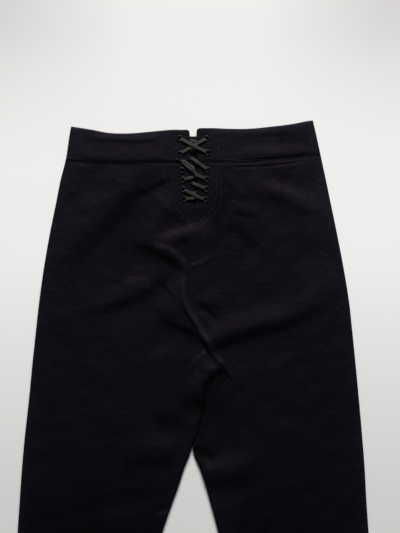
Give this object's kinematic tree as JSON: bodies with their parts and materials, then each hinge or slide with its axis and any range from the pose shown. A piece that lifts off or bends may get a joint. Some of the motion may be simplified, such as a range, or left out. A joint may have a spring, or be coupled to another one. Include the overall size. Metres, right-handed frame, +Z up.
{
  "type": "sailor trousers",
  "caption": "Dark navy wool sailor trousers laid flat, back uppermost, with a gusseted slit at the back waist laced through eyelets.",
  "frame": {"origin": "middle of the trousers' outline on the flat surface that they lie on", "axes": "+X to the right with the back uppermost and the waist away, +Y from the hems to the waist, +Z up out of the surface"},
  "size_m": [0.61, 1.1046, 0.0128],
  "materials": {
    "melton": "dense dark navy wool melton, matt, with a short nap",
    "gusset_cloth": "thin dark navy twill",
    "lace_braid": "flat olive-grey cotton braid, worn",
    "eyelet_enamel": "dark enamelled eyelet, worn at the rim"
  },
  "bodies": {
    "root": {"back_left": "melton", "back_right": "melton", "front_left": "melton", "front_right": "melton", "front_fall": "melton", "waistband_back_left": "melton", "waistband_back_right": "melton", "waistband_front_left": "melton", "waistband_front_right": "melton", "gusset": "gusset_cloth", "lace": "lace_braid", "eyelet_left_1": "eyelet_enamel", "eyelet_left_2": "eyelet_enamel", "eyelet_left_3": "eyelet_enamel", "eyelet_left_4": "eyelet_enamel", "eyelet_left_5": "eyelet_enamel", "eyelet_left_6": "eyelet_enamel", "eyelet_right_1": "eyelet_enamel", "eyelet_right_2": "eyelet_enamel", "eyelet_right_3": "eyelet_enamel", "eyelet_right_4": "eyelet_enamel", "eyelet_right_5": "eyelet_enamel", "eyelet_right_6": "eyelet_enamel"}
  },
  "joints": []
}
